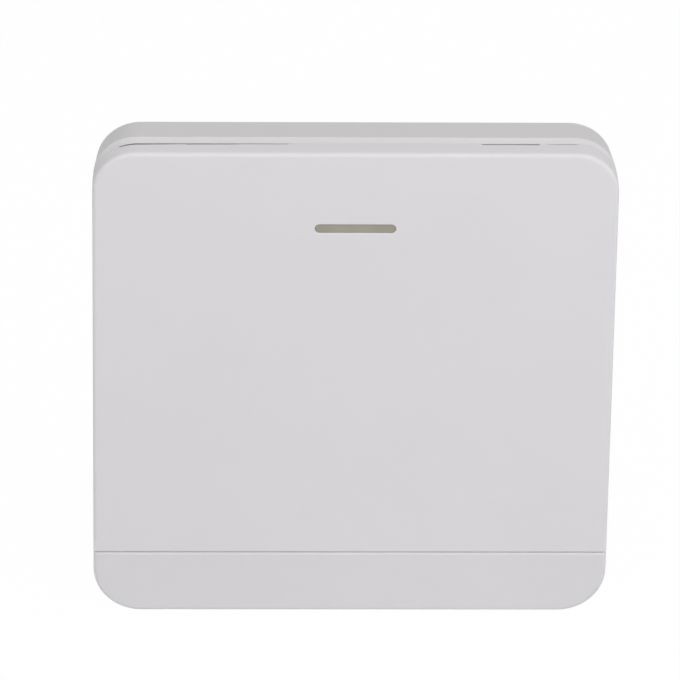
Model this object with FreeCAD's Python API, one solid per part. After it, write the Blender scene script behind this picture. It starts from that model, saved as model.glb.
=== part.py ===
import FreeCAD, Part
import math
import os

# A square wireless wall switch. Everything is drawn on the wall: x to the right, y up, and z the
# distance from the wall towards the room. stand_up then turns each piece so that +Z is up and the
# wall is the plane Y = 0. The origin is the middle of the two wall screws. Sizes are millimetres.

V = FreeCAD.Vector

# How far one shape bites into the one that it is joined to, and runs past the one that it cuts
bite = 0.1
past = 1.0
# How near two levels are when they count as one
near = 1e-4

# Face
face_side = 86.0
corner_radius = 7.1
strip_corner_radius = 8.0
strip_height = 11.45
seam_gap = 0.12
rocker_seam_round = 0.25
strip_seam_round = 0.65
cap_wall = 1.5
cap_round = 0.7
cap_lift = 0.27

# Rear housing, a little narrower than the face
housing_side_step = 0.5
housing_corner_radius = 7.6
housing_wall = 1.8
housing_bevel = 0.8
housing_skin = 1.4
housing_ledge = 0.8
housing_drop = 1.15
housing_lip = 0.85
housing_groove = 0.85
back_rim = 3.6
back_bevel = 0.4

# Stack from the wall to the deck
door_recess = 0.4
door_thickness = 1.1
cell_play = 0.05
cell_thickness = 3.2
contact_height = 0.45
board_thickness = 1.2
board_to_deck = 0.3
deck_thickness = 1.2

# Wall bracket
bracket_thickness = 1.6
bracket_clearance = 0.2
bracket_edge_play = 0.3
screw_edge = 13.0
screw_slot_length = 9.0
screw_slot_width = 4.4
screw_head_radius = 4.0
screw_head_height = 2.6
screw_head_play = 0.4
blister_wall = 0.8
hook_inset_x = 18.0
hook_inset_y = 16.0
hook_width = 5.0
hook_stem = 1.8
hook_lip = 2.6
hook_lip_thickness = 1.1
hook_play = 0.1
hook_seat_gap = 0.05
hook_window_play = 0.3
lift_travel = 3.4

# Cell bay and its door
cell_radius = 10.0
cell_step = 0.4
cell_side_play = 0.3
bay_wall = 1.2
bay_board_gap = 0.3
door_fit = 0.1
door_skirt = 1.2
door_skirt_play = 0.8
door_lug_reach = 1.2
door_lug_thickness = 0.8
door_lug_angle = 24.0
door_lug_play = 0.1
door_lug_slack = 4.0
door_turn = 45.0
door_lugs = 3
turret_wall = 1.3
turret_play = 0.4
turret_inner_rise = 0.6
coin_groove_length = 16.0
coin_groove_width = 1.8
coin_groove_depth = 0.6
contact_thickness = 0.2
contact_plus_width = 6.0
contact_minus_width = 3.0
contact_minus_span = 10.0

# Board
board_margin = 10.0
board_side_play = 0.5
board_corner = 2.0
board_post_inset = 4.0
board_post_radius = 2.4
board_pin_radius = 0.9
board_pin_fit = 0.1

# Push switch
switch_drop = 29.0
switch_side = 6.0
switch_base_height = 2.0
switch_well_radius = 2.3
switch_well_depth = 1.15
switch_cover_thickness = 0.2
switch_cover_drop = 1.2
switch_fold_width = 4.0
switch_leg_width = 0.7
switch_leg_spacing = 4.5
switch_leg_reach = 1.0
switch_leg_thickness = 0.2
plunger_radius = 1.65
plunger_fit = 0.08
plunger_proud = 1.3
plunger_bevel = 0.2
plunger_flange_reach = 0.45
plunger_flange_thickness = 0.3
plunger_flange_play = 0.05
dome_side_play = 0.2
dome_rise = 0.4
dome_thickness = 0.1
dome_flat_radius = 0.8

# Other parts on the board
led_length = 3.2
led_width = 1.6
led_height = 0.7
led_bevel = 0.15
chip_bevel = 0.15
chip_row_drop = 10.0
radio_chip_x = -8.0
radio_chip_size = (5.0, 5.0, 0.9)
memory_chip_x = 5.0
memory_chip_size = (5.0, 4.0, 1.1)
small_row_drop = 4.5
crystal_size = (3.2, 2.5, 0.7)
small_part_length = 1.6
small_part_width = 0.8
small_part_pitch = 1.8
small_part_count = 4
capacitor_height = 0.8
resistor_height = 0.45
antenna_width = 1.0
antenna_height = 5.0
antenna_pitch = 2.4
antenna_turns = 5
antenna_thickness = 0.3
antenna_edge = 1.5

# Screws
screw_inset = 7.5
strip_screw_drop = 4.0
screw_post_radius = 2.8
screw_radius = 1.0
screw_hole_play = 0.15
screw_head_r = 1.9
screw_head_h = 1.2
screw_seat_play = 0.3
screw_recess_radius = 0.7
screw_recess_depth = 0.7
screw_recess_width = 0.45
frame_boss_radius = 2.3
frame_boss_height = 1.2
frame_boss_cap = 0.5
board_screw_clear = 0.6

# Front frame
frame_play = 0.15
neck_wall = 1.2
strip_rib = 1.0
strip_ribs = 5
deck_rim_wall = 1.0
deck_rim_overlap = 0.8
deck_rim_play = 0.3
window_play = 0.6

# Rocker
pivot_rise = 4.49
pivot_inset = 8.0
pivot_pin_radius = 1.0
pivot_fit = 0.05
pivot_lug_radius = 1.3
pivot_lug_width = 2.0
pivot_ear_width = 2.0
pivot_ear_span = 5.0
pivot_ear_clear = 0.6
pivot_side_play = 0.2
pivot_deck_play = 0.2
rib_height = 0.6
rib_thickness = 0.8
rib_column_pitch = 14.0
rib_margin = 9.0
rib_row_rise = 13.0
rib_row_drop = 21.0
rib_overrun = 7.0
boss_radius = 1.5
boss_root_radius = 2.6
boss_height = 0.65
boss_gap = 0.05
latch_x = 20.0
latch_drop = 7.0
latch_width = 6.0
latch_thickness = 1.3
latch_barb = 0.9
latch_barb_height = 1.0
latch_barb_edge = 0.3
latch_play = 0.05
latch_window_play = 0.5

# Shallow reliefs in the rocker's back edge, along the top of the face, from side to side
relief_reach = 1.8
relief_web = 0.5
relief_left_web = 15.4
relief_left_fade = 33.2
relief_left_depth = 0.6
relief_right_near = 21.7
relief_right_far = 11.4
relief_right_depth = 0.35
relief_end_depth = 0.2

# Indicator
bar_drop = 13.7
bar_length = 13.3
bar_width = 1.6
bar_recess = 0.35
bar_edge_bevel = 0.12
bar_flange = 1.7
bar_flange_thickness = 0.8
guide_play = 0.1
guide_width = 2.2
guide_flange = 1.2
guide_flange_thickness = 0.8
light_gap = 0.7

# Levels from the wall
door_inner = door_recess + door_thickness
cell_back = door_inner + cell_play
cell_front = cell_back + cell_thickness
board_back = cell_front + contact_height
board_front = board_back + board_thickness
deck_back = board_front + board_to_deck
deck_front = deck_back + deck_thickness
housing_depth = deck_front - housing_drop
cap_back = deck_front + cap_lift
cover_level = board_front + switch_base_height + switch_cover_thickness
plunger_top = cover_level + plunger_proud
cap_inner = plunger_top + boss_gap + boss_height
face_level = cap_inner + cap_wall
recess_level = bracket_thickness + bracket_clearance
floor_level = recess_level + housing_skin
pivot_level = deck_front + pivot_deck_play + pivot_lug_radius
guide_top = cap_inner - bar_flange_thickness - light_gap
turret_inner = floor_level + turret_inner_rise

# Places on the face
half = face_side / 2
housing_half = half - housing_side_step
seam_height = strip_height - half
rocker_bottom = seam_height + seam_gap / 2
strip_top = seam_height - seam_gap / 2
pivot_height = rocker_bottom + pivot_rise
pivot_x = half - pivot_inset
latch_y = half - latch_drop
led_y = half - bar_drop
switch_y = half - switch_drop
screw_x = half - screw_inset
screw_high = half - screw_inset
screw_low = seam_height - strip_screw_drop
screw_spacing = face_side - 2 * screw_edge
screw_head_reach = (screw_slot_length - screw_slot_width) / 2 + screw_head_radius + screw_head_play
hook_x = half - hook_inset_x
hook_y = half - hook_inset_y
board_half_width = screw_spacing / 2 - screw_head_reach - blister_wall - board_side_play
board_half_height = half - board_margin
board_post_x = board_half_width - board_post_inset
board_post_y = board_half_height - board_post_inset
chip_row = board_half_height - chip_row_drop
small_row = board_half_height - small_row_drop
small_row_length = (small_part_count - 1) * small_part_pitch + small_part_width
small_row_free = 2 * (board_post_x - board_post_radius - small_row_length) - crystal_size[0]
small_row_x = crystal_size[0] / 2 + small_row_free / 4 + small_row_length / 2

# Radii and lengths
bay_radius = cell_radius + cell_side_play
bay_outer = bay_radius + bay_wall
door_hollow = cell_radius + door_skirt_play
door_radius = door_hollow + door_skirt
lug_outer = door_radius + door_lug_reach
groove_radius = lug_outer + door_fit
groove_floor = door_inner + door_lug_thickness + door_lug_play
turret_radius = groove_radius + turret_wall
screw_hole_radius = screw_radius + screw_hole_play
frame_screw_length = deck_front + frame_boss_height - frame_boss_cap - floor_level
board_screw_length = board_front - floor_level - board_screw_clear
deck_inset = housing_wall + frame_play
plunger_flange_radius = plunger_radius + plunger_flange_reach
dome_radius = switch_well_radius - dome_side_play


def stand_up(shape):
    """Turn a piece from lying on the wall to standing, with +Z up and the wall at Y = 0."""
    shape = shape.copy()
    shape.rotate(V(0, 0, 0), V(1, 0, 0), 90)
    return shape


def rounded(left, right, bottom, top, bottom_radius, top_radius):
    """A rectangle with one radius for its two lower corners and one for its two upper ones."""
    edges = []
    corners = [
        (right, bottom, bottom_radius, -90),
        (right, top, top_radius, 0),
        (left, top, top_radius, 90),
        (left, bottom, bottom_radius, 180),
    ]
    ends = []
    for x, y, radius, start in corners:
        cx = x - math.copysign(radius, x - (left + right) / 2)
        cy = y - math.copysign(radius, y - (bottom + top) / 2)
        if radius > 0:
            points = [arc_point(cx, cy, radius, start + turn) for turn in (0, 45, 90)]
            ends.append((points[0], points[2], Part.Arc(*points).toShape()))
        else:
            ends.append((V(x, y, 0), V(x, y, 0), None))
    for index, (first, last, arc) in enumerate(ends):
        if arc:
            edges.append(arc)
        following = ends[(index + 1) % len(ends)][0]
        edges.append(Part.LineSegment(last, following).toShape())
    return Part.Face(Part.Wire(edges))


def arc_point(cx, cy, radius, degrees):
    """The point of a circle at an angle."""
    turn = math.radians(degrees)
    return V(cx + radius * math.cos(turn), cy + radius * math.sin(turn), 0)


def housing_outline(inset):
    """The rear housing's outline, set in by a distance."""
    side = housing_half - inset
    top = half - inset
    radius = housing_corner_radius - inset
    return rounded(-side, side, -top, top, radius, radius)


def raised(face, low, high):
    """The prism over a face, from one level to another."""
    prism = face.extrude(V(0, 0, high - low))
    prism.translate(V(0, 0, low))
    return prism


def block(cx, cy, width, height, low, high):
    """A box centred on a point of the face, between two levels."""
    return Part.makeBox(width, height, high - low, V(cx - width / 2, cy - height / 2, low))


def disc(cx, cy, radius, low, high):
    """A cylinder that stands on the wall, between two levels."""
    return Part.makeCylinder(radius, high - low, V(cx, cy, low))


def sector(radius, low, high, middle, width):
    """A slice of a cylinder about the origin, width degrees wide round its middle angle."""
    slice_ = Part.makeCylinder(radius, high - low, V(0, 0, low), V(0, 0, 1), width)
    slice_.rotate(V(0, 0, 0), V(0, 0, 1), middle - width / 2)
    return slice_


def obround(cx, cy, length, width, low, high, upright=False):
    """A bar with round ends, lying along x or upright, between two levels."""
    reach = (length - width) / 2
    step = V(0, reach, 0) if upright else V(reach, 0, 0)
    body = block(cx, cy, 2 * step.x or width, 2 * step.y or width, low, high)
    ends = [disc(cx + side * step.x, cy + side * step.y, width / 2, low, high) for side in (-1, 1)]
    return body.fuse(ends).removeSplitter()


def edges_at(shape, level, keep=lambda box: True):
    """The edges that lie flat at a level and pass a test on their box."""
    found = []
    for edge in shape.Edges:
        box = edge.BoundBox
        if abs(box.ZMin - level) < near and abs(box.ZMax - level) < near and keep(box):
            found.append(edge)
    return found


def at_corners(x, y):
    """The four places that mirror one another."""
    return [(sx * x, sy * y) for sy in (1, -1) for sx in (-1, 1)]


def cap_half(outline, seam_edge, seam_round):
    """One half of the front: a block with its outer edges rounded and its seam edge eased."""
    body = raised(outline, cap_back, face_level)
    on_seam = lambda box: abs(box.YMin - seam_edge) < near and abs(box.YMax - seam_edge) < near
    body = body.makeFillet(cap_round, edges_at(body, face_level, lambda box: not on_seam(box)))
    seam_chain = []
    for edge in body.Edges:
        box = edge.BoundBox
        behind = box.ZMax < cap_back + near
        if on_seam(box) and not behind:
            seam_chain.append(edge)
    return body.makeFillet(seam_round, seam_chain)


def make_rocker():
    """The white cap: a hollow shell with ribs, a boss over the switch, pivot pins and latches."""
    outline = rounded(-half, half, rocker_bottom, half, 0, corner_radius)
    shell = cap_half(outline, rocker_bottom, rocker_seam_round)
    inner = half - cap_wall
    hollow = rounded(-inner, inner, rocker_bottom + cap_wall, inner, 0, corner_radius - cap_wall)
    shell = shell.cut(raised(hollow, cap_back - past, cap_inner))
    rib_level = cap_inner - rib_height
    ribs = []
    lowest = pivot_height + rib_row_rise
    highest = half - rib_row_drop
    middle = (lowest + highest) / 2
    tall = highest - lowest + 2 * rib_overrun
    for column in (-2, -1, 1, 2):
        x = column * rib_column_pitch
        ribs.append(block(x, middle, rib_thickness, tall, rib_level, cap_inner + bite))
    for y in (lowest, middle, highest):
        wide = 2 * (half - rib_margin)
        ribs.append(block(0, y, wide, rib_thickness, rib_level, cap_inner + bite))
    boss = disc(0, switch_y, boss_root_radius, rib_level, cap_inner + bite)
    tip = disc(0, switch_y, boss_radius, plunger_top + boss_gap, cap_inner)
    shell = shell.fuse(ribs + [boss, tip] + [make_latch(side) for side in (-1, 1)])
    shell = shell.fuse([make_pivot(side) for side in (-1, 1)])
    slot = obround(0, led_y, bar_length, bar_width, cap_inner - past, face_level + past)
    shell = shell.cut([slot] + make_reliefs())
    return ease_slot(shell.removeSplitter())


def make_reliefs():
    """The shallow cuts in the back edge of the rocker's top wall, one of them sloping out."""
    bottom = half - relief_reach
    web = relief_left_web - half
    fade = relief_left_fade - half
    low = cap_back - past
    high = cap_back + relief_left_depth
    points = [V(web, bottom, low), V(web, bottom, high), V(fade, bottom, cap_back), V(fade, bottom, low)]
    slope = Part.Face(Part.makePolygon(points + [points[0]])).extrude(V(0, relief_reach + past, 0))
    runs = [
        (-half - past, web - relief_web, relief_left_depth),
        (half - relief_right_near, half - relief_right_far, relief_right_depth),
        (half - relief_right_far + relief_web, half + past, relief_end_depth),
    ]
    cuts = [slope]
    for left, right, depth in runs:
        height = relief_reach + past
        cuts.append(block((left + right) / 2, bottom + height / 2, right - left, height,
                          low, cap_back + depth))
    return cuts


def ease_slot(shell):
    """Bevel the mouth of the indicator's slot."""
    in_slot = lambda box: abs(box.Center.y - led_y) < bar_width and box.XLength < bar_length + near
    return shell.makeChamfer(bar_edge_bevel, edges_at(shell, face_level, in_slot))


def make_latch(side):
    """A hooked leg that passes through the deck and holds the rocker's top edge."""
    leg = block(side * latch_x, latch_y + latch_thickness / 2, latch_width, latch_thickness,
                deck_back - latch_play - latch_barb_height, cap_inner + bite)
    top = deck_back - latch_play
    low = top - latch_barb_height
    y = latch_y + latch_thickness
    points = [
        V(0, y, low),
        V(0, y + latch_barb, top - latch_barb_edge),
        V(0, y + latch_barb, top),
        V(0, y - bite, top),
        V(0, y - bite, low),
    ]
    profile = Part.Face(Part.makePolygon(points + [points[0]]))
    barb = profile.extrude(V(latch_width, 0, 0))
    barb.translate(V(side * latch_x - latch_width / 2, 0, 0))
    return leg.fuse(barb)


def make_pivot(side):
    """A lug with a stub pin that points outwards into the frame's bearing."""
    inner = pivot_x - pivot_ear_width / 2 - pivot_side_play - pivot_lug_width
    lug = block(inner + pivot_lug_width / 2, pivot_height, pivot_lug_width, 2 * pivot_lug_radius,
                pivot_level, cap_inner + bite)
    base = V(inner, pivot_height, pivot_level)
    nose = Part.makeCylinder(pivot_lug_radius, pivot_lug_width, base, V(1, 0, 0))
    reach = pivot_lug_width + pivot_side_play + pivot_ear_width
    pin = Part.makeCylinder(pivot_pin_radius, reach, base, V(1, 0, 0))
    pivot = lug.fuse([nose, pin])
    if side < 0:
        pivot = pivot.mirror(V(0, 0, 0), V(1, 0, 0))
    return pivot


def make_light_bar():
    """The indicator's bar: a stem that fills the slot and a flange behind the face."""
    stem = obround(0, led_y, bar_length, bar_width, cap_inner, face_level - bar_recess)
    length = bar_length + 2 * bar_flange
    width = bar_width + 2 * bar_flange
    flange = obround(0, led_y, length, width, cap_inner - bar_flange_thickness, cap_inner)
    return stem.fuse(flange).removeSplitter()


def make_light_guide():
    """The clear pipe in the deck that carries the light to the bar."""
    low = board_front + led_height + guide_play
    pipe = obround(0, led_y, bar_length, guide_width, low, guide_top)
    flange = obround(0, led_y, bar_length + 2 * guide_flange, guide_width + 2 * guide_flange,
                     deck_front, deck_front + guide_flange_thickness)
    return pipe.fuse(flange).removeSplitter()


def make_front_frame():
    """The inner deck, with the fixed strip, the rocker's bearings, windows and screw bosses."""
    deck = raised(housing_outline(deck_inset), deck_back, deck_front)
    outline = rounded(-half, half, -half, strip_top, strip_corner_radius, 0)
    strip = cap_half(outline, strip_top, strip_seam_round)
    frame = deck.fuse([strip, make_neck(), make_deck_rim()])
    frame = frame.cut(make_strip_hollow())
    extras = []
    for x, y in frame_screw_places():
        top = deck_front + frame_boss_height if y > 0 else cap_inner + bite
        extras.append(disc(x, y, frame_boss_radius, deck_back, top))
    pitch = 2 * screw_x / (strip_ribs + 1)
    hollow_bottom = -half + cap_wall + neck_wall
    hollow_top = strip_top - cap_wall - neck_wall
    for index in range(strip_ribs):
        x = -screw_x + pitch * (index + 1)
        middle = (hollow_bottom + hollow_top) / 2
        height = hollow_top - hollow_bottom + 2 * bite
        extras.append(block(x, middle, strip_rib, height, deck_front, cap_inner + bite))
    for side in (-1, 1):
        extras.append(make_ear(side))
    frame = frame.fuse(extras)
    return frame.cut(frame_openings()).removeSplitter()


def make_neck():
    """The wall that carries the strip in front of the deck, set back from its sides."""
    return behind_strip(deck_inset, deck_back, cap_back + cap_wall)


def make_deck_rim():
    """The low wall round the deck that closes the gap, and reaches up inside the rocker."""
    low = rim_wall(strip_top - cap_wall, cap_back - deck_rim_play)
    high = rim_wall(rocker_bottom + cap_wall + deck_rim_play, cap_back + deck_rim_overlap)
    return low.fuse(high)


def rim_wall(bottom, top):
    """A wall along the deck's left, top and right edges, from a height on the face upwards."""
    side = housing_half - deck_inset
    high = half - deck_inset
    radius = housing_corner_radius - deck_inset
    outline = rounded(-side, side, bottom, high, 0, radius)
    inner = side - deck_rim_wall
    hollow = rounded(-inner, inner, bottom - past, high - deck_rim_wall, 0, radius - deck_rim_wall)
    return raised(outline, deck_back, top).cut(raised(hollow, deck_back - past, top + past))


def make_strip_hollow():
    """The hollow of the strip, open at the back."""
    return behind_strip(cap_wall + neck_wall, deck_back - past, cap_inner)


def behind_strip(inset, low, high):
    """The housing's outline set in by a distance, kept only as far up as the strip."""
    body = raised(housing_outline(inset), low, high)
    bottom = -half - past
    top = strip_top - inset
    return body.common(block(0, (bottom + top) / 2, face_side, top - bottom, low - past, high + past))


def make_ear(side):
    """A bearing for one pivot pin, open towards the room so that the pin snaps in."""
    top = cap_inner - pivot_ear_clear
    x = side * pivot_x
    ear = block(x, pivot_height, pivot_ear_width, pivot_ear_span, deck_front - bite, top)
    base = V(x - pivot_ear_width / 2 - past, pivot_height, pivot_level)
    length = pivot_ear_width + 2 * past
    bore = Part.makeCylinder(pivot_pin_radius + pivot_fit, length, base, V(1, 0, 0))
    return ear.cut(bore)


def frame_openings():
    """Windows for the switch, the light, the latches and the board's screws, and screw holes."""
    low = deck_back - bite
    high = deck_front + bite
    cuts = []
    side = switch_side + 2 * (switch_leg_reach + window_play)
    cuts.append(block(0, switch_y, side, side, low, high))
    length = bar_length + 2 * guide_play
    cuts.append(obround(0, led_y, length, guide_width + 2 * guide_play, low, high))
    for sign in (-1, 1):
        height = latch_thickness + latch_barb + 2 * latch_window_play
        middle = latch_y + (latch_thickness + latch_barb) / 2
        width = latch_width + 2 * latch_window_play
        cuts.append(block(sign * latch_x, middle, width, height, low, high))
    for x, y in board_screw_places():
        cuts.append(disc(x, y, screw_head_r + screw_seat_play, low, high))
    for x, y in frame_screw_places():
        tip = floor_level + frame_screw_length + screw_hole_play
        cuts.append(disc(x, y, screw_radius, low, tip))
    return cuts


def frame_screw_places():
    """The screws that join the tray and the frame: two near the top, two behind the strip."""
    return [(side * screw_x, y) for y in (screw_high, screw_low) for side in (-1, 1)]


def board_screw_places():
    """The two opposite posts where screws hold the board; the other two have pins."""
    return [(-board_post_x, board_post_y), (board_post_x, -board_post_y)]


def board_pin_places():
    """The two posts whose pins place the board."""
    return [(board_post_x, board_post_y), (-board_post_x, -board_post_y)]


def make_rear_housing():
    """The tray: bevelled front edge, recess for the bracket, cell bay, posts and hook windows."""
    shell = raised(housing_outline(0), 0, housing_depth)
    shell = shell.makeChamfer(housing_bevel, edges_at(shell, housing_depth))
    shell = shell.makeChamfer(back_bevel, edges_at(shell, 0))
    inset = housing_wall + housing_ledge
    tray = raised(housing_outline(inset), floor_level, deck_front + past)
    seat = raised(housing_outline(housing_wall), deck_back, deck_front + past)
    recess = raised(housing_outline(back_rim), -past, recess_level)
    groove = raised(housing_outline(housing_lip), housing_depth - housing_groove, deck_front)
    groove = groove.cut(raised(housing_outline(housing_wall), 0, deck_front))
    shell = shell.cut([tray, seat, groove, recess])
    turret = disc(0, 0, turret_radius, door_recess, turret_inner)
    bay = disc(0, 0, bay_outer, turret_inner, board_back - bay_board_gap)
    adds = [turret, bay]
    for x, y in frame_screw_places():
        adds.append(disc(x, y, screw_post_radius, floor_level - bite, deck_back))
    for x, y in at_corners(board_post_x, board_post_y):
        adds.append(disc(x, y, board_post_radius, floor_level - bite, board_back))
    for x, y in board_pin_places():
        adds.append(disc(x, y, board_pin_radius, board_back - bite, board_front))
    for side in (-1, 1):
        adds.append(make_blister(side, blister_wall, floor_level - bite))
    shell = shell.fuse(adds)
    return shell.cut(housing_cuts()).removeSplitter()


def make_blister(side, wall, start):
    """Room for a wall screw's head in the tray's floor, over its slot and the lift."""
    low = -screw_head_radius - screw_head_play - lift_travel
    high = screw_head_radius + screw_head_play
    depth = bracket_thickness + screw_head_height + screw_head_play
    width = 2 * (screw_head_reach + wall)
    height = high - low + 2 * wall
    return block(side * screw_spacing / 2, (low + high) / 2, width, height, start, depth + wall)


def housing_cuts():
    """Everything that is cut from the tray's floor and posts."""
    cuts = []
    cuts.append(disc(0, 0, door_radius + door_fit, -past, groove_floor))
    cuts.append(disc(0, 0, bay_radius, -past, board_back + past))
    slack = door_lug_angle + door_lug_slack
    for index in range(door_lugs):
        locked = 90 + index * 360 / door_lugs
        groove_middle = locked + door_turn / 2
        cuts.append(sector(groove_radius, door_inner - door_lug_play, groove_floor,
                           groove_middle, door_turn + slack))
        cuts.append(sector(groove_radius, -past, groove_floor, locked + door_turn, slack))
    width = contact_plus_width + 2 * cell_side_play
    window_depth = bay_wall + 2 * cell_side_play + contact_thickness
    cuts.append(block(bay_radius + bay_wall / 2, 0, window_depth, width, groove_floor,
                      board_back + past))
    for side in (-1, 1):
        cuts.append(make_blister(side, 0, recess_level - bite))
    for x, y in frame_screw_places():
        cuts.append(disc(x, y, screw_head_r + screw_seat_play, 0, floor_level))
        cuts.append(disc(x, y, screw_hole_radius, floor_level - bite, deck_back + past))
    for x, y in board_screw_places():
        cuts.append(disc(x, y, screw_radius, floor_level, board_back + past))
    for x, y in at_corners(hook_x, hook_y):
        high = y + hook_stem / 2 + hook_seat_gap
        low = y - hook_stem / 2 - lift_travel - hook_window_play
        cuts.append(block(x, (low + high) / 2, hook_width + 2 * hook_window_play, high - low,
                          recess_level - past, floor_level + past))
    return cuts


def make_wall_bracket():
    """The plate on the wall: screw slots, an opening for the cell bay and four picture hooks.

    Each hook's lip has a window behind it in the plate, where the mould's core shaped it.
    """
    inset = back_rim + bracket_edge_play
    side = housing_half - inset
    top = half - inset
    corner = housing_corner_radius - inset
    outline = rounded(-side, side, lift_travel - top, top, corner, corner)
    plate = raised(outline, 0, bracket_thickness)
    opening = 2 * (turret_radius + turret_play)
    cuts = [obround(0, lift_travel / 2, opening + lift_travel, opening, -past,
                    bracket_thickness + past, upright=True)]
    for sign in (-1, 1):
        cuts.append(obround(sign * screw_spacing / 2, 0, screw_slot_length, screw_slot_width,
                            -past, bracket_thickness + past))
    for x, y in at_corners(hook_x, hook_y):
        width = hook_width + 2 * hook_window_play
        height = hook_lip + hook_window_play
        middle = y + hook_stem / 2 + height / 2
        cuts.append(block(x, middle, width, height, -past, bracket_thickness + past))
    plate = plate.cut(cuts)
    return plate.fuse([make_hook(x, y) for x, y in at_corners(hook_x, hook_y)]).removeSplitter()


def make_hook(x, y):
    """A picture hook: a stem through the tray's floor and a lip that points up behind it."""
    tip = floor_level + hook_play + hook_lip_thickness
    top = y + hook_stem / 2
    points = [
        V(0, y - hook_stem / 2, bracket_thickness - bite),
        V(0, top, bracket_thickness - bite),
        V(0, top, floor_level + hook_play),
        V(0, top + hook_lip, floor_level + hook_play),
        V(0, top + hook_lip, floor_level + hook_play + hook_lip_thickness / 2),
        V(0, top + hook_lip / 2, tip),
        V(0, y - hook_stem / 2, tip),
    ]
    profile = Part.Face(Part.makePolygon(points + [points[0]]))
    hook = profile.extrude(V(hook_width, 0, 0))
    hook.translate(V(x - hook_width / 2, 0, 0))
    return hook


def make_battery_door():
    """The round door: a disc with a coin groove, and a skirt with three bayonet lugs."""
    plate = disc(0, 0, door_radius, door_recess, door_inner)
    skirt_end = door_inner + door_lug_thickness
    skirt = disc(0, 0, door_radius, door_inner, skirt_end)
    hollow = disc(0, 0, door_hollow, door_inner, skirt_end + past)
    skirt = skirt.cut(hollow)
    door = plate.fuse(skirt)
    for index in range(door_lugs):
        lug = sector(lug_outer, door_inner, skirt_end, 90 + index * 360 / door_lugs, door_lug_angle)
        door = door.fuse(lug.cut(hollow))
    groove = obround(0, 0, coin_groove_length, coin_groove_width, -past,
                     door_recess + coin_groove_depth)
    return door.cut(groove).removeSplitter()


def make_coin_cell():
    """The coin cell, its larger can towards the door and its smaller face towards the board."""
    small_radius = cell_radius - 2 * cell_step
    profile = [
        V(0, 0, cell_back),
        V(cell_radius, 0, cell_back),
        V(cell_radius, 0, cell_front - cell_step),
        V(small_radius, 0, cell_front - cell_step),
        V(small_radius, 0, cell_front),
        V(0, 0, cell_front),
    ]
    face = Part.Face(Part.makePolygon(profile + [profile[0]]))
    return face.revolve(V(0, 0, 0), V(0, 0, 1), 360)


def make_contact_plus():
    """A bent strip that stands at the cell's rim, with a foot on the board."""
    inner = cell_radius + cell_play
    outer = inner + contact_thickness
    foot = inner + 2 * bay_wall + 1
    low = groove_floor + cell_side_play
    points = [
        V(inner, 0, low),
        V(outer, 0, low),
        V(outer, 0, board_back - contact_thickness),
        V(foot, 0, board_back - contact_thickness),
        V(foot, 0, board_back),
        V(inner, 0, board_back),
    ]
    face = Part.Face(Part.makePolygon(points + [points[0]]))
    strip = face.extrude(V(0, contact_plus_width, 0))
    strip.translate(V(0, -contact_plus_width / 2, 0))
    return strip


def make_contact_minus():
    """A bowed leaf between the board and the cell."""
    reach = contact_minus_span / 2
    ends = reach - 2 * contact_thickness
    top = Part.Arc(V(-reach, 0, board_back), V(0, 0, cell_front), V(reach, 0, board_back))
    under = Part.Arc(V(ends, 0, board_back), V(0, 0, cell_front + contact_thickness),
                     V(-ends, 0, board_back))
    edges = [
        top.toShape(),
        Part.LineSegment(V(reach, 0, board_back), V(ends, 0, board_back)).toShape(),
        under.toShape(),
        Part.LineSegment(V(-ends, 0, board_back), V(-reach, 0, board_back)).toShape(),
    ]
    leaf = Part.Face(Part.Wire(edges)).extrude(V(0, contact_minus_width, 0))
    leaf.translate(V(0, -contact_minus_width / 2, 0))
    return leaf


def make_circuit_board():
    """The board, with its pin holes and screw holes."""
    outline = rounded(-board_half_width, board_half_width, -board_half_height,
                      board_half_height, board_corner, board_corner)
    board = raised(outline, board_back, board_front)
    cuts = []
    for x, y in board_screw_places():
        cuts.append(disc(x, y, screw_hole_radius, board_back - past, board_front + past))
    for x, y in board_pin_places():
        radius = board_pin_radius + board_pin_fit
        cuts.append(disc(x, y, radius, board_back - past, board_front + past))
    return board.cut(cuts)


def make_switch_base():
    """The push switch's moulded base, with its round well and four bent legs."""
    top = board_front + switch_base_height
    base = block(0, switch_y, switch_side, switch_side, board_front, top)
    base = base.cut(disc(0, switch_y, switch_well_radius, top - switch_well_depth, top + past))
    legs = []
    reach = switch_side + 2 * switch_leg_reach
    for sign in (-1, 1):
        y = switch_y + sign * switch_leg_spacing / 2
        legs.append(block(0, y, reach, switch_leg_width, board_front,
                          board_front + switch_leg_thickness))
    return base.fuse(legs).removeSplitter()


def make_switch_dome():
    """The snap dome in the base's well, pressed from thin steel as a cone with a flat top."""
    floor = board_front + switch_base_height - switch_well_depth
    outer = Part.makeCone(dome_radius, dome_flat_radius, dome_rise, V(0, switch_y, floor))
    inner = outer.copy()
    inner.translate(V(0, 0, -dome_thickness))
    return outer.cut(inner)


def make_switch_cover():
    """The stamped cover: a plate with the plunger's hole and two sides folded over the base."""
    side = switch_side + 2 * switch_cover_thickness
    low = cover_level - switch_cover_thickness
    plate = block(0, switch_y, switch_side, side, low, cover_level)
    folds = []
    for sign in (-1, 1):
        y = switch_y + sign * (switch_side + switch_cover_thickness) / 2
        folds.append(block(0, y, switch_fold_width, switch_cover_thickness,
                           cover_level - switch_cover_drop, cover_level))
    cover = plate.fuse(folds)
    hole = disc(0, switch_y, plunger_radius + plunger_fit, low - past, cover_level + past)
    return cover.cut(hole).removeSplitter()


def make_switch_plunger():
    """The plunger: a round button with a flange held under the cover."""
    flange_top = cover_level - switch_cover_thickness - plunger_flange_play
    flange_low = flange_top - plunger_flange_thickness
    button = disc(0, switch_y, plunger_radius, flange_low, plunger_top)
    flange = disc(0, switch_y, plunger_flange_radius, flange_low, flange_top)
    button = button.fuse(flange).removeSplitter()
    return button.makeChamfer(plunger_bevel, edges_at(button, plunger_top))


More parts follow.
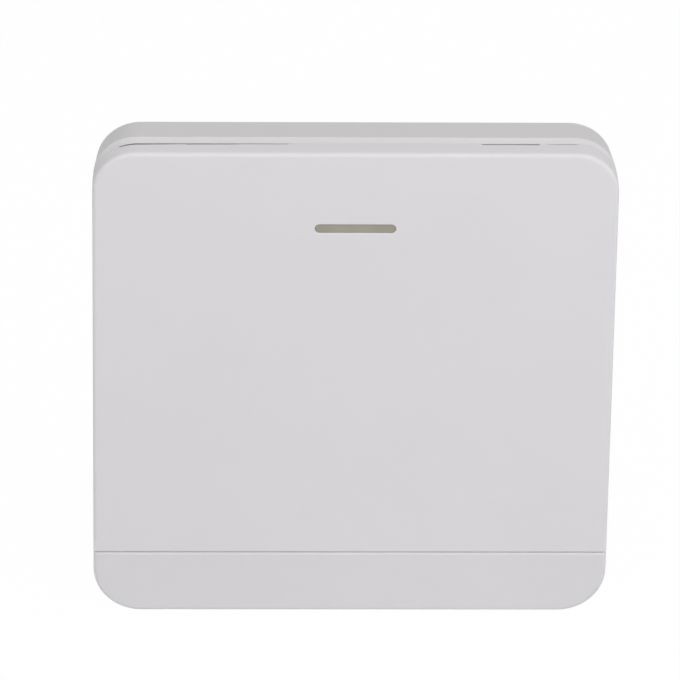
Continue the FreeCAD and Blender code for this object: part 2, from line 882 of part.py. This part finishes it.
def make_chip(x, y, size):
    """A moulded chip on the side of the board that faces the wall, bevelled all round."""
    length, width, height = size
    body = block(x, y, length, width, board_back - height, board_back)
    return body.makeChamfer(chip_bevel, edges_at(body, board_back - height))


def make_row(middle, height):
    """A row of small parts on the side of the board that faces the wall, as separate solids."""
    parts = []
    for index in range(small_part_count):
        x = middle + (index - (small_part_count - 1) / 2) * small_part_pitch
        parts.append(block(x, small_row, small_part_width, small_part_length,
                           board_back - height, board_back))
    return Part.makeCompound(parts)


def make_antenna():
    """A stamped meander along the board's lower edge."""
    y = antenna_edge + antenna_height / 2 - board_half_height
    low = board_back - antenna_thickness
    strips = []
    for index in range(antenna_turns):
        x = (index - (antenna_turns - 1) / 2) * antenna_pitch
        strips.append(block(x, y, antenna_width, antenna_height, low, board_back))
        if index < antenna_turns - 1:
            side = 1 if index % 2 == 0 else -1
            end = y + side * (antenna_height - antenna_width) / 2
            middle = x + antenna_pitch / 2
            strips.append(block(middle, end, antenna_pitch, antenna_width, low, board_back))
    return strips[0].fuse(strips[1:]).removeSplitter()


def make_indicator_led():
    """The indicator's lamp: a flat body with a domed lens."""
    body = block(0, led_y, led_length, led_width, board_front, board_front + led_height)
    return body.makeChamfer(led_bevel, edges_at(body, board_front + led_height))


def make_screw(x, y, seat, length, forward):
    """A pan-head screw with a cross recess; forward screws point away from the wall."""
    head_edge = seat - screw_head_h
    head = disc(x, y, screw_head_r, head_edge, seat)
    shank = disc(x, y, screw_radius, seat - bite, seat + length)
    screw = head.fuse(shank).removeSplitter()
    bar = 2 * screw_recess_radius
    low = head_edge - past
    high = head_edge + screw_recess_depth
    cross = block(x, y, bar, screw_recess_width, low, high)
    cross = cross.fuse(block(x, y, screw_recess_width, bar, low, high))
    screw = screw.cut(cross)
    if not forward:
        screw = screw.mirror(V(0, 0, seat), V(0, 0, 1))
    return screw


def make_housing_screws():
    """Four screws from the back of the tray into the front frame."""
    places = frame_screw_places()
    return Part.makeCompound([make_screw(x, y, floor_level, frame_screw_length, True)
                              for x, y in places])


def make_board_screws():
    """Two screws that hold the board on its posts."""
    places = board_screw_places()
    return Part.makeCompound([make_screw(x, y, board_front, board_screw_length, False)
                              for x, y in places])


def write(node, shape):
    """Write one piece, standing up, under its node's name."""
    stand_up(shape).exportStep("parts/%s.step" % node)


os.makedirs("parts", exist_ok=True)
write("wall_bracket", make_wall_bracket())
write("rear_housing", make_rear_housing())
write("front_frame", make_front_frame())
write("rocker", make_rocker())
write("light_bar", make_light_bar())
write("light_guide", make_light_guide())
write("battery_door", make_battery_door())
write("coin_cell", make_coin_cell())
write("battery_contact_plus", make_contact_plus())
write("battery_contact_minus", make_contact_minus())
write("circuit_board", make_circuit_board())
write("switch_base", make_switch_base())
write("switch_dome", make_switch_dome())
write("switch_cover", make_switch_cover())
write("switch_plunger", make_switch_plunger())
write("indicator_led", make_indicator_led())
write("radio_chip", make_chip(radio_chip_x, chip_row, radio_chip_size))
write("memory_chip", make_chip(memory_chip_x, chip_row, memory_chip_size))
write("crystal", make_chip(0, small_row, crystal_size))
write("capacitors", make_row(small_row_x, capacitor_height))
write("resistors", make_row(-small_row_x, resistor_height))
write("antenna_strip", make_antenna())
write("housing_screws", make_housing_screws())
write("board_screws", make_board_screws())
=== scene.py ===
import math

import bmesh
import bpy
import numpy as np
from mathutils import Matrix, Vector


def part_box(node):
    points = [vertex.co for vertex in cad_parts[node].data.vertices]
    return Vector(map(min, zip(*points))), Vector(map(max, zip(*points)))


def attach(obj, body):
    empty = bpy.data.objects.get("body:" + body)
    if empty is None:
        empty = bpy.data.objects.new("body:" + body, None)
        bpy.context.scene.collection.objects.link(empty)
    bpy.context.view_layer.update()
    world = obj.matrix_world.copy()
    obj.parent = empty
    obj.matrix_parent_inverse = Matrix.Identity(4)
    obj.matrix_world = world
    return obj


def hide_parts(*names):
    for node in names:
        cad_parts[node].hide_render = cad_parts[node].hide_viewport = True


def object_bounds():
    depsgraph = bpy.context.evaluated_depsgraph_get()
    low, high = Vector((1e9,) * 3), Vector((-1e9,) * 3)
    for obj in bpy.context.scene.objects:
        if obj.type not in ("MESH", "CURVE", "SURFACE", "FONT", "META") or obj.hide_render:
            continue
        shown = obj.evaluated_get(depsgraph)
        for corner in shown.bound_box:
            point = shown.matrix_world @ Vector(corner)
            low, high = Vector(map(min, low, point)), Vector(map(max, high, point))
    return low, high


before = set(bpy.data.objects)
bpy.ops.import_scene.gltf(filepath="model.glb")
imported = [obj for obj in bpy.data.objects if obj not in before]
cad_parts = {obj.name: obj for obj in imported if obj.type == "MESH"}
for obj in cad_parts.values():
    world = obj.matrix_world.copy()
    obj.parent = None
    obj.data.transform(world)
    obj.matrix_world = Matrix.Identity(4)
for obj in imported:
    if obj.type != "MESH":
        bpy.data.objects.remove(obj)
cad_low, cad_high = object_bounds()

# A square wireless wall switch, standing on its lower edge on a pale floor. Lengths are written in
# millimetres and turned to metres with mm, apart from those of the stage at the end. X runs to the
# right, Y into the wall, and Z up. A depth is a distance from the wall towards the room.
mm = 0.001

# The rocker's shell
face_half = 43.0
face_level = 12.1
corner = 7.1
cap_wall = 1.5
cap_round = 0.7
cap_back = 8.17
cap_inner = 10.6
inner_round = 0.4
hollow_corner = 0.3
rocker_bottom = -31.525

# Its front edge is nearly sharp along the seam, and grows round over a short run up each side
seam_round = 0.15
seam_corner = 0.4
seam_run = 2.5

# The rocker's back edge is cut back a little along parts of the top wall. Each row is a stretch
# along X, from one place to another, with the cut at its start and at its end
top_wall = 1.8
reliefs = [
    (-38.9, -34.0, 0.72, 0.58),
    (-34.0, -30.5, 0.58, 0.46),
    (-30.5, -27.6, 0.46, 0.37),
    (-27.6, -26.9, 0.66, 0.50),
    (-26.9, -20.3, 0.50, 0.45),
    (-20.3, -18.5, 0.45, 0.33),
    (-18.5, -10.7, 0.33, 0.35),
    (20.5, 27.5, 0.43, 0.43),
    (27.5, 30.0, 0.43, 0.52),
    (31.2, 36.0, 0.24, 0.32),
]

# Inside the rocker: ribs, a boss over the push switch, latches and pivots, each sunk a little into
# the cap. An upright rib is a place along X and the height of its upper end
sunk = 0.1
rib_level = 10.0
rib_half = 0.4
upright_ribs = [(-28, 29), (-14, 26.5), (14, 26.5), (28, 29)]
upright_low = -21
cross_ribs = (-14, 4, 22)
cross_half = 34
boss_z = 14
boss_radius = 2.6
boss_tip = 1.5
tip_level = 9.95
latch_x = 20
latch_half = 3
pivot_z = -27
pivot_level = 9.4
pin_radius = 1.0
cheek_radius = 1.3
pivot_start = 31.8
cheek_end = 33.8
pin_end = 36.0

# The indicator: a bar in the rocker's slot, with a flange behind the slot
bar_length = 13.3
bar_width = 1.6
bar_z = 29.3
bar_level = 11.85
bar_play = 0.03
bar_round = 0.12
slot_round = 0.16
flange_reach = 1.7
flange_thick = 0.8
flange_round = 0.1

# The rear housing: its outline in the solid, its half width and corners at the back and the front
# of the side walls, the width of the rim that moves with them, and how much of its way in from the
# outline a point of the rim keeps
housing_half = 42.5
housing_corner = 7.6
housing_back = 0.4
housing_front = 5.9
half_back = 42.4
half_front = 42.9
corner_back = 7.4
upper_corner = 7.1
lower_corner = 8.0
rim = 1.2
rim_share = 0.94


def linear(code):
    """Turn an sRGB hex code such as "DEDCDD" to the linear colour that a shader takes."""
    parts = [int(code[i:i + 2], 16) / 255 for i in (0, 2, 4)]
    curve = [c / 12.92 if c <= 0.04045 else ((c + 0.055) / 1.055) ** 2.4 for c in parts]
    return (*curve, 1.0)


def add(tree, kind, inputs=None, **settings):
    """Add a node with its settings, and give its sockets numbers, colours or other sockets."""
    made = tree.nodes.new(kind)
    for name, value in settings.items():
        setattr(made, name, value)
    for name, value in (inputs or {}).items():
        if isinstance(value, bpy.types.NodeSocket):
            tree.links.new(value, made.inputs[name])
        else:
            made.inputs[name].default_value = value
    return made


def empty_tree(owner):
    """The node tree of a material or a world, without nodes."""
    owner.use_nodes = True
    owner.node_tree.nodes.clear()
    return owner.node_tree


def start_material(name, **sockets):
    """A new material with one shader, whose sockets take the numbers and colours given."""
    material = bpy.data.materials.new(name)
    tree = empty_tree(material)
    inputs = {key.replace("_", " "): value for key, value in sockets.items()}
    shader = add(tree, "ShaderNodeBsdfPrincipled", inputs)
    add(tree, "ShaderNodeOutputMaterial", {"Surface": shader.outputs[0]})
    place = add(tree, "ShaderNodeTexCoord").outputs["Object"]
    return material, tree, shader, place


def grain(tree, shader, place, size, depth):
    """A fine bump like that of a mould's face: grains of one size and one depth, in mm."""
    noise = add(tree, "ShaderNodeTexNoise", {"Vector": place, "Scale": 1 / (size * mm),
                                             "Detail": 2.0, "Roughness": 0.5})
    bump = add(tree, "ShaderNodeBump", {"Height": noise.outputs["Fac"], "Strength": 1.0,
                                        "Distance": depth * mm})
    tree.links.new(bump.outputs["Normal"], shader.inputs["Normal"])


def mottle(tree, shader, place, size, dark, light, socket="Base Color"):
    """Let a socket drift between two values or colours, in soft patches of one size in mm.

    The noise seldom leaves the middle of its range, so the ramp's two stops lie near the middle.
    """
    noise = add(tree, "ShaderNodeTexNoise", {"Vector": place, "Scale": 1 / (size * mm),
                                             "Detail": 3.0})
    ramp = add(tree, "ShaderNodeValToRGB", {"Fac": noise.outputs["Fac"]})
    for element, stop, value in zip(ramp.color_ramp.elements, (0.35, 0.65), (dark, light)):
        element.position = stop
        element.color = value if isinstance(value, tuple) else (value, value, value, 1)
    tree.links.new(ramp.outputs["Color"], shader.inputs[socket])


def moulded_abs(name, dark, light, roughness, size):
    """White ABS, moulded against a spark-eroded steel face: a satin sheen without gloss."""
    material, tree, shader, place = start_material(name, IOR=1.53)
    mottle(tree, shader, place, 18, linear(dark), linear(light))
    spread = (roughness - 0.03, roughness + 0.03)
    mottle(tree, shader, place, 1.1, *spread, socket="Roughness")
    grain(tree, shader, place, size, 0.0022)
    return material


def smoked_diffuser():
    """Smoke-grey polycarbonate with a frosted back: dull, and a little light passes through."""
    material, tree, shader, place = start_material(
        "frosted_polycarbonate", IOR=1.58, Transmission_Weight=0.12, Coat_Weight=0.15)
    mottle(tree, shader, place, 4, linear("A7A193"), linear("AFA99B"))
    mottle(tree, shader, place, 0.6, 0.38, 0.46, socket="Roughness")
    grain(tree, shader, place, 0.3, 0.001)
    return material


def clear_acrylic():
    """Polished clear acrylic: glassy walls that carry light from end to end."""
    material, tree, shader, place = start_material(
        "clear_acrylic", IOR=1.49, Transmission_Weight=1.0, Base_Color=linear("F4F6F5"))
    mottle(tree, shader, place, 3, 0.04, 0.12, socket="Roughness")
    return material


def metal(name, dark, light, rough_low, rough_high, size, depth, stretch=(1, 1, 1)):
    """A bare or plated metal: a pattern stretched along the way that it was rolled or turned."""
    material, tree, shader, place = start_material(name, Metallic=1.0)
    along = add(tree, "ShaderNodeMapping", {"Vector": place, "Scale": stretch}).outputs[0]
    mottle(tree, shader, along, size * 4, linear(dark), linear(light))
    mottle(tree, shader, along, size * 2, rough_low, rough_high, socket="Roughness")
    grain(tree, shader, along, size, depth)
    return material


def dull_moulding(name, dark, light, roughness, size):
    """Filled nylon or epoxy: matt, with the filler's grain just under the skin."""
    material, tree, shader, place = start_material(name, IOR=1.55)
    mottle(tree, shader, place, 1.5, linear(dark), linear(light))
    mottle(tree, shader, place, 0.5, roughness - 0.06, roughness + 0.06, socket="Roughness")
    grain(tree, shader, place, size, 0.003)
    return material


def masked_laminate():
    """Glass laminate under green solder mask, with copper tracks that show paler through it."""
    material, tree, shader, place = start_material(
        "masked_glass_laminate", IOR=1.5, Coat_Weight=0.4, Coat_Roughness=0.2)
    flat = add(tree, "ShaderNodeMapping", {"Vector": place, "Rotation": (math.pi / 2, 0, 0)})
    tracks = add(tree, "ShaderNodeTexBrick", {
        "Vector": flat.outputs[0], "Scale": 1 / (11 * mm), "Mortar Size": 0.022,
        "Mortar Smooth": 0.1, "Color1": linear("16523A"), "Color2": linear("195A40"),
        "Mortar": linear("2C7A58")}, offset=0.37, squash=1.6, squash_frequency=3)
    tree.links.new(tracks.outputs["Color"], shader.inputs["Base Color"])
    mottle(tree, shader, place, 0.8, 0.32, 0.42, socket="Roughness")
    grain(tree, shader, place, 0.25, 0.002)
    return material


def capped_chip(name, dark, light, roughness, node):
    """A small fired part: a dull speckled body between two tinned ends, one above and one below."""
    low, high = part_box(node)
    end_height = 0.3 * mm
    middle = (low.z + high.z) / 2
    half_body = (high.z - low.z) / 2 - end_height
    material, tree, shader, place = start_material(name, IOR=1.5)
    height = add(tree, "ShaderNodeSeparateXYZ", {"Vector": place}).outputs["Z"]
    away = add(tree, "ShaderNodeMath", {0: height, 1: middle}, operation="SUBTRACT")
    away = add(tree, "ShaderNodeMath", {0: away.outputs[0]}, operation="ABSOLUTE")
    end = add(tree, "ShaderNodeMath", {0: away.outputs[0], 1: half_body},
              operation="GREATER_THAN").outputs[0]
    speckle = add(tree, "ShaderNodeTexNoise", {"Vector": place, "Scale": 1 / (0.2 * mm)})
    body = add(tree, "ShaderNodeMix", {0: speckle.outputs["Fac"], 6: linear(dark),
                                       7: linear(light)}, data_type="RGBA")
    whole = add(tree, "ShaderNodeMix", {0: end, 6: body.outputs[2], 7: linear("C4C5C4")},
                data_type="RGBA")
    rough = add(tree, "ShaderNodeMapRange", {"Value": end, "To Min": roughness, "To Max": 0.3})
    tree.links.new(whole.outputs[2], shader.inputs["Base Color"])
    tree.links.new(end, shader.inputs["Metallic"])
    tree.links.new(rough.outputs[0], shader.inputs["Roughness"])
    grain(tree, shader, place, 0.15, 0.002)
    return material


def led_epoxy():
    """A white LED's body: pale epoxy over a warm phosphor, drawn as soft patches that drift between
    the two tones.
    """
    material, tree, shader, place = start_material("led_epoxy", IOR=1.52, Coat_Weight=0.5)
    mottle(tree, shader, place, 0.8, linear("E6D9A0"), linear("E9E6DA"))
    mottle(tree, shader, place, 0.4, 0.25, 0.4, socket="Roughness")
    grain(tree, shader, place, 0.15, 0.001)
    return material


finishes = {
    "rocker_plastic": moulded_abs("moulded_abs_rocker", "E3E1E4", "E4E2E5", 0.62, 0.30),
    # The frame's colour is painted shade: the rocker's plastic made a few levels darker for the
    # strip low on the face
    "shaded_frame_plastic": moulded_abs("moulded_abs_frame_painted_shade", "DFDDE0", "E0DEE1", 0.42, 0.30),
    "housing_plastic": moulded_abs("moulded_abs_housing", "DAD8D9", "DBD9DA", 0.52, 0.34),
    "bracket_plastic": moulded_abs("moulded_abs_bracket", "D3D2CF", "D6D5D2", 0.55, 0.45),
    "diffuser": smoked_diffuser(),
    "clear_plastic": clear_acrylic(),
    "cell_can": metal("nickel_plated_can", "BFBDB8", "CDCBC6", 0.22, 0.32, 0.35, 0.0006),
    "contact_metal": metal("plated_spring_bronze", "C2B79E", "D0C6AE", 0.25, 0.36, 0.3, 0.0008,
                           (1, 6, 1)),
    "board_laminate": masked_laminate(),
    "black_moulding": dull_moulding("glass_filled_nylon", "18181A", "1F1F21", 0.5, 0.2),
    "plunger_moulding": dull_moulding("acetal_black", "1E1E20", "252527", 0.4, 0.25),
    "stamped_steel": metal("tinned_steel", "BCBDBD", "CACBCB", 0.26, 0.36, 0.25, 0.0006,
                           (8, 1, 1)),
    "led_body": led_epoxy(),
    "chip_moulding": dull_moulding("epoxy_moulding", "1B1C1E", "232527", 0.6, 0.15),
    "capacitor_ceramic": capped_chip("fired_ceramic", "A58963", "B4986F", 0.5, "capacitors"),
    "resistor_body": capped_chip("resistor_glass", "17181A", "202124", 0.35, "resistors"),
    "antenna_metal": metal("gilded_copper", "C39B4E", "D0AB60", 0.24, 0.34, 0.3, 0.0006),
    "screw_steel": metal("zinc_plated_steel", "AEB3B8", "BEC2C6", 0.26, 0.4, 0.25, 0.001),
}

# Each solid gets the finish of its slot, apart from the front frame, whose strip is a little
# lighter than the housing that it shares a slot with.
# Its colour is the rocker's plastic painted a few levels darker, as painted shade for the strip low
# on the face
for name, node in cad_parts.items():
    for place in node.material_slots:
        kind = place.material.name.split(".")[0]
        place.material = finishes["shaded_frame_plastic" if name == "front_frame" else kind]


def put(name, data):
    """A new object in the scene."""
    made = bpy.data.objects.new(name, data)
    bpy.context.scene.collection.objects.link(made)
    return made


def loop(left, right, bottom, top, low_radius, top_radius, side=40, arc=12):
    """The points of a rounded rectangle, and the directions that point out of it.

    Each corner is an arc of the same count of points, and each side is the straight line between
    two arcs. So two loops match point by point, and a face can be stretched between them.
    """
    radius = np.array([low_radius, top_radius, top_radius, low_radius])[:, None]
    middle_x = np.array([right, right, left, left])[:, None] + radius * [[-1], [-1], [1], [1]]
    middle_z = np.array([bottom, top, top, bottom])[:, None] + radius * [[1], [-1], [-1], [1]]
    turn = np.radians(np.array([-90, 0, 90, 180])[:, None] + np.linspace(0, 90, arc))
    out = np.stack([np.cos(turn), np.sin(turn)], axis=-1)
    corners = np.stack([middle_x, middle_z], axis=-1) + radius[..., None] * out
    share = np.linspace(0, 1, side + 2)[1:-1, None]
    ends = corners[:, -1:, :]
    starts = np.roll(corners[:, :1, :], -1, axis=0)
    sides = ends * (1 - share) + starts * share
    out_sides = np.repeat(out[:, -1:, :], side, axis=1)
    points = np.concatenate([corners, sides], axis=1).reshape(-1, 2)
    outwards = np.concatenate([out, out_sides], axis=1).reshape(-1, 2)
    return points, outwards


def bar_loop(grown, **counts):
    """The indicator's outline with its round ends, grown by a length on all sides."""
    long = bar_length / 2 + grown
    tall = bar_width / 2 + grown
    radius = tall - 0.01
    return loop(-long, long, bar_z - tall, bar_z + tall, radius, radius, **counts)


def ring(points, depth):
    """Stand a line of points at a distance from the wall, one for all or one for each point."""
    depths = np.broadcast_to(depth, len(points))
    return np.column_stack([points[:, 0], -depths, points[:, 1]])


def rounding(points, outwards, radius, edge, steps=7):
    """Rings that turn a wall into a face: a quarter circle, carried along a loop.

    radius is one number or one for each point. A negative radius rounds the rim of a hole. A ring
    just before the curve and one just past it keep the wall and the face flat in the light.
    """
    radius = np.broadcast_to(radius, len(points))
    past = np.sign(radius) * 0.04
    rings = [ring(points, edge - np.abs(radius + past))]
    for turn in np.linspace(0, math.pi / 2, steps):
        inset = radius * (1 - math.cos(turn))
        depth = edge - np.abs(radius) * (1 - math.sin(turn))
        rings.append(ring(points - outwards * inset[:, None], depth))
    rings.append(ring(points - outwards * (radius + past)[:, None], edge))
    return rings


def between(first, last, steps):
    """Rings spread evenly from one ring to another, without those two."""
    return [first + (last - first) * share for share in np.linspace(0, 1, steps + 2)[1:-1]]


def prism(points, low, high):
    """A closed rod that stands on the face: rings at its two ends, each end slightly eased."""
    ease = 0.1
    centre = points.mean(axis=0)
    reach = np.abs(points - centre).max(axis=0)
    small = centre + (points - centre) * (1 - ease / reach)
    return [ring(small, low), ring(points, low + ease), ring(points, high - ease),
            ring(small, high)]


def box(left, right, bottom, top, low, high):
    """A rib: a rod over a rectangle with small round corners."""
    radius = 0.12
    points, _ = loop(left, right, bottom, top, radius, radius, side=1, arc=3)
    return prism(points, low, high)


turns = np.linspace(0, 2 * math.pi, 40, endpoint=False)


def circle(x, y, radius):
    """The points of a circle, at the angles in turns."""
    return np.column_stack([x + radius * np.cos(turns), y + radius * np.sin(turns)])


def along_x(profile, left, right):
    """A rod that lies along X, over a profile of height and distance from the wall."""
    count = len(profile)
    return [np.column_stack([np.full(count, x), -profile[:, 1], profile[:, 0]])
            for x in (left, right)]


def make_piece(name, skins, body, slot, nodes):
    """One piece of several closed skins, which rides on a body and stands for CAD nodes.

    A skin is a list of rings of points in mm, each joined to the next with four-sided faces.
    A skin whose last ring is its first is closed that way, and any other is closed by shrinking
    its two end rings to their middles.
    """
    merge_distance = 0.0005
    sharp_angle = 32
    points = []
    faces = []
    start = 0
    for rings in skins:
        if rings[0] is not rings[-1]:
            ends = [np.repeat(end.mean(axis=0)[None], len(end), axis=0)
                    for end in (rings[0], rings[-1])]
            rings = [ends[0], *rings, ends[1]]
        grid = np.stack(rings)
        rows, count, _ = grid.shape
        index = start + np.arange(rows * count).reshape(rows, count)
        after = np.roll(index, -1, axis=1)
        quads = np.stack([index[:-1], index[1:], after[1:], after[:-1]], axis=-1).reshape(-1, 4)
        spots = grid.reshape(-1, 3)
        a, b, c, d = (spots[quads[:, i] - start] for i in range(4))
        volume = (a * np.cross(b, c)).sum() + (a * np.cross(c, d)).sum()
        faces.append(quads if volume > 0 else quads[:, ::-1])
        points.append(spots)
        start += rows * count
    mesh = bpy.data.meshes.new(name)
    mesh.from_pydata((np.concatenate(points) * mm).tolist(), [], np.concatenate(faces).tolist())
    shape = bmesh.new()
    shape.from_mesh(mesh)
    bmesh.ops.remove_doubles(shape, verts=shape.verts, dist=merge_distance * mm)
    shape.to_mesh(mesh)
    shape.free()
    mesh.polygons.foreach_set("use_smooth", np.ones(len(mesh.polygons), bool))
    mesh.set_sharp_from_angle(angle=math.radians(sharp_angle))
    mesh.materials.append(finishes[slot])
    piece = put(name, mesh)
    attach(piece, body)
    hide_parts(*nodes)


def relief(points):
    """How far the rocker's back edge is cut back along the top, by the place along X."""
    along = points[:, 0]
    cut = np.zeros(len(points))
    for start, end, first, last in reliefs:
        share = (along - start) / (end - start)
        here = (share > 0) & (share <= 1) & (points[:, 1] > face_half - top_wall)
        cut = np.where(here, first + (last - first) * share, cut)
    return cut


def make_rocker():
    """The white cap: a hollow shell with the indicator's slot, ribs, boss, latches and pivots."""
    counts = {"side": 150, "arc": 14}
    outline, out = loop(-face_half, face_half, rocker_bottom, face_half, seam_corner, corner,
                        **counts)
    rise = np.clip((outline[:, 1] - rocker_bottom) / seam_run, 0, 1)
    edge = seam_round + (cap_round - seam_round) * rise * rise * (3 - 2 * rise)
    front = rounding(outline, out, edge, face_level)
    face = front[-1]
    slot, slot_out = bar_loop(0, **counts)
    lip = rounding(slot, slot_out, -slot_round, face_level)[::-1]
    inner = face_half - cap_wall
    hollow, hollow_out = loop(-inner, inner, rocker_bottom + cap_wall, inner, hollow_corner,
                              corner - cap_wall, **counts)
    ceiling = rounding(hollow, hollow_out, inner_round, cap_inner, 4)
    back_outer = ring(outline, cap_back + relief(outline))
    back_inner = ring(hollow, cap_back + relief(hollow))
    under = ring(slot, cap_inner)
    shell = [back_outer, *front, *between(face, lip[0], 3), *lip, under,
             *between(under, ceiling[-1], 3), *ceiling[::-1], back_inner, back_outer]
    parts = [shell]

    top = cap_inner + sunk
    for x, high in upright_ribs:
        parts.append(box(x - rib_half, x + rib_half, upright_low, high, rib_level, top))
    for z in cross_ribs:
        parts.append(box(-cross_half, cross_half, z - rib_half, z + rib_half, rib_level, top))
    parts.append(prism(circle(0, boss_z, boss_radius), rib_level, top))
    parts.append(prism(circle(0, boss_z, boss_tip), tip_level, top))

    # The outlines of a latch and of a pivot's cheek and pin: heights, and distances from the wall
    latch = np.array([(36, top), (36, 5.65), (37.3, 5.65), (38.2, 6.35), (38.2, 6.65),
                      (37.3, 6.65), (37.3, top)])
    pin = circle(pivot_z, pivot_level, pin_radius)
    cheek = circle(pivot_z, pivot_level, cheek_radius)
    cheek[:, 1] = np.where(np.sin(turns) > 0, np.maximum(cheek[:, 1], top), cheek[:, 1])
    for side in (-1, 1):
        parts.append(along_x(latch, side * latch_x - latch_half, side * latch_x + latch_half))
        parts.append(along_x(cheek, side * pivot_start, side * cheek_end))
        parts.append(along_x(pin, side * pivot_start, side * pin_end))
    make_piece("rocker_cap", parts, "rocker", "rocker_plastic", ["rocker"])


def make_light_bar():
    """The indicator's bar: a frosted stem with an eased flat front, and a flange behind."""
    stem, out = bar_loop(-bar_play)
    front = rounding(stem, out, bar_round, bar_level)
    flange, flange_out = bar_loop(flange_reach)
    back = rounding(flange, flange_out, flange_round, cap_inner, 4)
    neck = ring(stem, cap_inner)
    skin = [ring(flange, cap_inner - flange_thick), *back, neck, *front]
    make_piece("indicator_bar", [skin], "rocker", "diffuser", ["light_bar"])


def make_housing():
    """The tray against the wall, whose side walls lean out a little towards the front.

    It is a copy of the solid, shading and all. A point is a place on a rectangle that runs through
    the four corners' centres, and an arm that points from there towards the outline. For each
    point in the rim, the rectangle is stretched and the arm gets longer or shorter, by shares that
    grow evenly with the depth. So the walls stay straight and the corners stay round. All points
    further in stay where they are.
    """
    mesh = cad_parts["rear_housing"].data.copy()
    mesh.name = "housing_tray"
    points = np.empty(len(mesh.vertices) * 3)
    mesh.vertices.foreach_get("co", points)
    points = points.reshape(-1, 3) / mm
    flat = points[:, [0, 2]]
    depth = (-points[:, 1] - housing_back) / (housing_front - housing_back)
    depth = np.clip(depth, 0, 1)[:, None]
    centre = np.array([housing_half, face_half]) - housing_corner
    arm = np.maximum(np.abs(flat) - centre, 0)
    length = np.maximum(np.linalg.norm(arm, axis=1, keepdims=True), 0.1)
    inside = housing_corner - length
    front_corner = np.where(flat[:, 1:] > 0, upper_corner, lower_corner)
    radius = corner_back + (front_corner - corner_back) * depth
    half = np.hstack([half_back + (half_front - half_back) * depth, face_half + 0 * depth])
    moved = np.minimum(np.abs(flat), centre) * (half - radius) / centre
    moved += arm / length * (radius - inside * rim_share)
    points[:, [0, 2]] = np.where(inside < rim, np.sign(flat) * moved, flat)
    mesh.vertices.foreach_set("co", (points * mm).ravel())
    mesh.update()
    housing = put("housing_tray", mesh)
    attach(housing, "unit")
    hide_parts("rear_housing")


make_rocker()
make_light_bar()
make_housing()


def seen_by(tree, *rays):
    """A socket that is 1 for the kinds of ray named, and 0 for all others."""
    path = add(tree, "ShaderNodeLightPath")
    seen = path.outputs[rays[0]]
    for ray in rays[1:]:
        seen = add(tree, "ShaderNodeMath", {0: seen, 1: path.outputs[ray]},
                   operation="MAXIMUM").outputs[0]
    return seen


def lay_floor(height, reach, white):
    """A flat square floor under the switch: pale, and white to the eye but for its shadow."""
    corners = np.array([(-1, -1), (1, -1), (1, 1), (-1, 1)]) * reach
    points = np.column_stack([corners, np.full(4, height)])
    mesh = bpy.data.meshes.new("floor")
    mesh.from_pydata(points.tolist(), [], [(0, 1, 2, 3)])
    floor = put("floor", mesh)
    material = bpy.data.materials.new("white_paper")
    tree = empty_tree(material)
    paper = add(tree, "ShaderNodeBsdfDiffuse", {"Color": linear("EDEDED")})
    glow = add(tree, "ShaderNodeEmission", {"Color": (1, 1, 1, 1), "Strength": 1.0})
    seen = seen_by(tree, "Is Camera Ray", "Is Glossy Ray", "Is Transmission Ray")
    share = add(tree, "ShaderNodeMath", {0: seen, 1: white}, operation="MULTIPLY")
    both = add(tree, "ShaderNodeMixShader", {"Fac": share.outputs[0], 1: paper.outputs[0],
                                             2: glow.outputs[0]})
    add(tree, "ShaderNodeOutputMaterial", {"Surface": both.outputs[0]})
    mesh.materials.append(material)


def light_room(level):
    """Even light from all round at one level, and white where the camera looks past the floor."""
    world = bpy.data.worlds.new("room")
    bpy.context.scene.world = world
    tree = empty_tree(world)
    seen = seen_by(tree, "Is Camera Ray", "Is Transmission Ray")
    strength = add(tree, "ShaderNodeMapRange", {"Value": seen, "To Min": level, "To Max": 1.0})
    back = add(tree, "ShaderNodeBackground", {"Color": (1, 1, 1, 1),
                                              "Strength": strength.outputs[0]})
    add(tree, "ShaderNodeOutputWorld", {"Surface": back.outputs[0]})


def direction(azimuth, elevation):
    """The way from the switch to a place, by its degrees to the right and its degrees up."""
    a = math.radians(azimuth)
    e = math.radians(elevation)
    return Vector((math.sin(a) * math.cos(e), -math.cos(a) * math.cos(e), math.sin(e)))


def hang_lamp(name, azimuth, elevation, distance, side, level):
    """A square soft lamp that faces the switch, bright enough to add a level to what faces it."""
    away = direction(azimuth, elevation)
    lamp = bpy.data.lights.new(name, "AREA")
    lamp.shape = "SQUARE"
    lamp.size = side
    lamp.energy = level * (math.pi * distance) ** 2
    turn = away.to_track_quat("Z", "Y").to_matrix().to_4x4()
    put(name, lamp).matrix_world = Matrix.Translation(away * distance) @ turn


def set_camera(azimuth, elevation, roll, distance, aim, focal):
    """A long lens at the photo's angle. focal is the focal length in widths of the picture."""
    a = math.radians(azimuth)
    r = math.radians(roll)
    back = direction(azimuth, elevation)
    right = Vector((math.cos(a), math.sin(a), 0))
    up = back.cross(right)
    turned = (math.cos(r) * right - math.sin(r) * up, math.sin(r) * right + math.cos(r) * up, back)
    lens = bpy.data.cameras.new("camera")
    lens.sensor_width = 36
    lens.lens = focal * lens.sensor_width
    lens.clip_end = 20
    camera = put("camera", lens)
    turn = Matrix(turned).transposed().to_4x4()
    camera.matrix_world = Matrix.Translation(Vector(aim) + back * distance) @ turn
    bpy.context.scene.camera = camera


# The stage, in metres: the floor just under the switch, the light, and the camera. A lamp is its
# azimuth, elevation, distance, side and level
lay_floor(cad_low.z - 0.02 * mm, reach=1.5, white=0.985)
light_room(0.366)
hang_lamp("front_lamp", 5, 30, 0.50, 0.4, 0.06)
hang_lamp("upper_lamp", 5, 58, 0.55, 0.4, 0.412)
hang_lamp("right_lamp", 68, 24, 0.50, 0.35, 0.22)
hang_lamp("left_lamp", -68, 24, 0.50, 0.35, 0.12)
set_camera(azimuth=-1.646, elevation=28.17, roll=-0.877, distance=1.1625,
           aim=(-1.90 * mm, 0, 2.264 * mm), focal=6967.7 / 680)
bpy.context.scene.view_settings.view_transform = "Standard"
